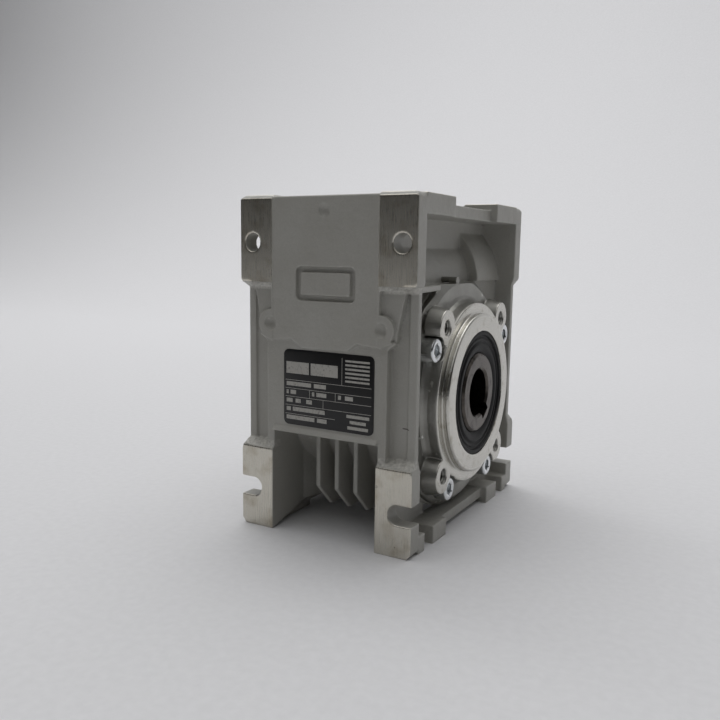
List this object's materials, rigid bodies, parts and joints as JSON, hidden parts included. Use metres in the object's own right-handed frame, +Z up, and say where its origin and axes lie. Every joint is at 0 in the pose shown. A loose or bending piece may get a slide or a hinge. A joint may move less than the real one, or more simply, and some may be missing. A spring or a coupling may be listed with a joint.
{
  "type": "worm gearbox",
  "caption": "Right-angle worm gearbox with slotted feet, machined pads, a flanged hollow output shaft with keyway and a motor input at the rear.",
  "frame": {"origin": "centre of the foot plane, directly below the output axis and the worm axis", "axes": "+Z up, +X out of the covered output side along the output axis, +Y out of the motor input side along the worm axis; the rating label faces -Y"},
  "size_m": [0.078, 0.1, 0.1215],
  "materials": {
    "housing_paint": "satin grey paint over a fine cast surface",
    "cast_aluminium": "as-cast satin with machined faces",
    "zinc_steel": "bright zinc",
    "seal_rubber": "satin black",
    "spring_steel": "phosphated",
    "label_film": "satin black film",
    "shaft_steel": "ground and turned",
    "bronze": "cut bronze",
    "bearing_steel": "ground",
    "cage_steel": "pressed"
  },
  "bodies": {
    "housing_body": {"housing": "housing_paint", "output_cover": "cast_aluminium", "cover_screws": "zinc_steel", "cover_o_ring": "seal_rubber", "output_seal_right": "seal_rubber", "output_seal_left": "seal_rubber", "input_seal": "seal_rubber", "bearing_retaining_ring": "spring_steel", "rating_label": "label_film", "output_bearing_right_outer_ring": "bearing_steel", "output_bearing_left_outer_ring": "bearing_steel", "worm_bearing_front_outer_ring": "bearing_steel", "worm_bearing_rear_outer_ring": "bearing_steel"},
    "output_body": {"hollow_output_shaft": "shaft_steel", "worm_wheel_rim": "bronze", "output_bearing_right_inner_ring": "bearing_steel", "output_bearing_left_inner_ring": "bearing_steel"},
    "worm_body": {"worm_shaft": "shaft_steel", "worm_bearing_front_inner_ring": "bearing_steel", "worm_bearing_rear_inner_ring": "bearing_steel"},
    "output_bearing_right_cage_body": {"output_bearing_right_balls": "bearing_steel", "output_bearing_right_cage": "cage_steel"},
    "output_bearing_left_cage_body": {"output_bearing_left_balls": "bearing_steel", "output_bearing_left_cage": "cage_steel"},
    "worm_bearing_front_cage_body": {"worm_bearing_front_balls": "bearing_steel", "worm_bearing_front_cage": "cage_steel"},
    "worm_bearing_rear_cage_body": {"worm_bearing_rear_balls": "bearing_steel", "worm_bearing_rear_cage": "cage_steel"}
  },
  "joints": [
    {"name": "output_spin", "type": "hinge", "parent": "housing_body", "child": "output_body", "pos_m": [0, 0, 0.05], "axis": [1, 0, 0], "continuous": true},
    {"name": "worm_spin", "type": "hinge", "parent": "housing_body", "child": "worm_body", "pos_m": [0, 0, 0.09], "axis": [0, 1, 0], "continuous": true},
    {"name": "output_bearing_right_cage_spin", "type": "hinge", "parent": "housing_body", "child": "output_bearing_right_cage_body", "pos_m": [0, 0, 0.05], "axis": [1, 0, 0], "continuous": true},
    {"name": "output_bearing_left_cage_spin", "type": "hinge", "parent": "housing_body", "child": "output_bearing_left_cage_body", "pos_m": [0, 0, 0.05], "axis": [1, 0, 0], "continuous": true},
    {"name": "worm_bearing_front_cage_spin", "type": "hinge", "parent": "housing_body", "child": "worm_bearing_front_cage_body", "pos_m": [0, 0, 0.09], "axis": [0, 1, 0], "continuous": true},
    {"name": "worm_bearing_rear_cage_spin", "type": "hinge", "parent": "housing_body", "child": "worm_bearing_rear_cage_body", "pos_m": [0, 0, 0.09], "axis": [0, 1, 0], "continuous": true}
  ],
  "couplings": [
    {"joint": "worm_spin", "follows": "output_spin", "ratio": 10},
    {"joint": "output_bearing_right_cage_spin", "follows": "output_spin", "ratio": 0.416},
    {"joint": "output_bearing_left_cage_spin", "follows": "output_spin", "ratio": 0.416},
    {"joint": "worm_bearing_front_cage_spin", "follows": "output_spin", "ratio": 3.8175},
    {"joint": "worm_bearing_rear_cage_spin", "follows": "output_spin", "ratio": 4.0833}
  ]
}
